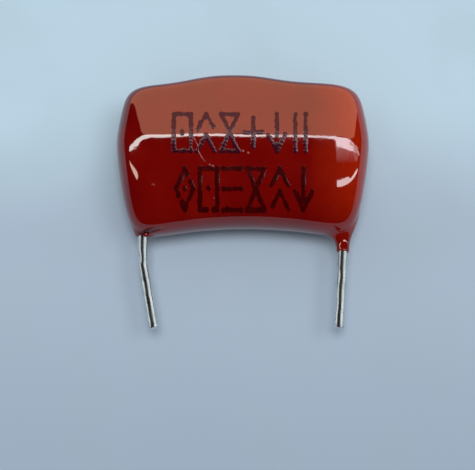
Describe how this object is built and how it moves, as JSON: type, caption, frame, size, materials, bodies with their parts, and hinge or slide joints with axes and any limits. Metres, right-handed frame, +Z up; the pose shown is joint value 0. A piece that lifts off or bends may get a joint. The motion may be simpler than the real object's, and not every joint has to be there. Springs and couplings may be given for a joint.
{
  "type": "film capacitor",
  "caption": "Dipped film capacitor: flattened roll in a glossy red-brown resin coat, with two round tinned leads on one side.",
  "frame": {"origin": "under the middle of the whole part, on the surface that it lies on", "axes": "+X from the left lead to the right lead, +Y away from the lead tips, +Z up through the thickness"},
  "size_m": [0.019, 0.0193, 0.0061],
  "materials": {
    "coat": "glossy dipped epoxy, red-brown",
    "film": "silvery metallised film, wound tight",
    "spray_metal": "rough sprayed zinc",
    "tinned_wire": "bright tin plate, lightly marked",
    "ink": "stamped dark ink"
  },
  "bodies": {
    "root": {"coating": "coat", "winding": "film", "end_spray_left": "spray_metal", "end_spray_right": "spray_metal", "lead_left": "tinned_wire", "lead_right": "tinned_wire"}
  },
  "joints": []
}
